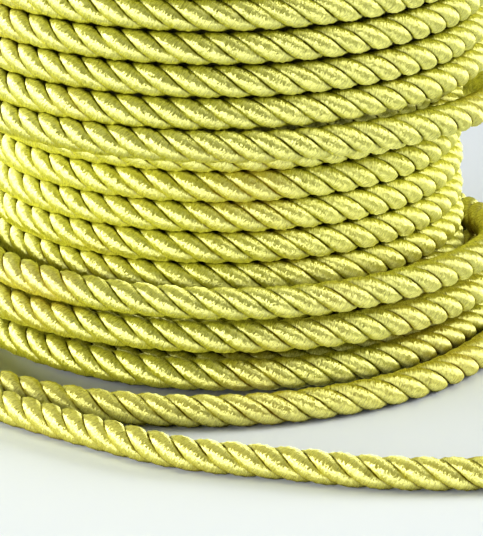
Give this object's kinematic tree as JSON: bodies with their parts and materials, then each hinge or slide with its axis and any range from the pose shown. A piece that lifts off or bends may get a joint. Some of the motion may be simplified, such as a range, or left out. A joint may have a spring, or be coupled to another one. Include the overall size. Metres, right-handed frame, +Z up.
{
  "type": "roll of twisted cord",
  "caption": "Upright roll of shiny twisted cord, open along its middle, with loosened lower turns and a loose end lying round it.",
  "frame": {"origin": "on the roll's axis, in the plane that the roll stands on", "axes": "+Z up along the roll's axis, -Y towards the front, where the loose end lies, +X to the right"},
  "size_m": [0.1104, 0.1304, 0.098],
  "materials": {
    "satin_cord": "shiny lime-gold polyester filament, wrapped across each strand",
    "satin_cord_end": "shiny lime-gold polyester filament, a little warmer, sealed tip"
  },
  "bodies": {
    "root": {"wound_roll": "satin_cord", "loose_end": "satin_cord_end"}
  },
  "joints": []
}
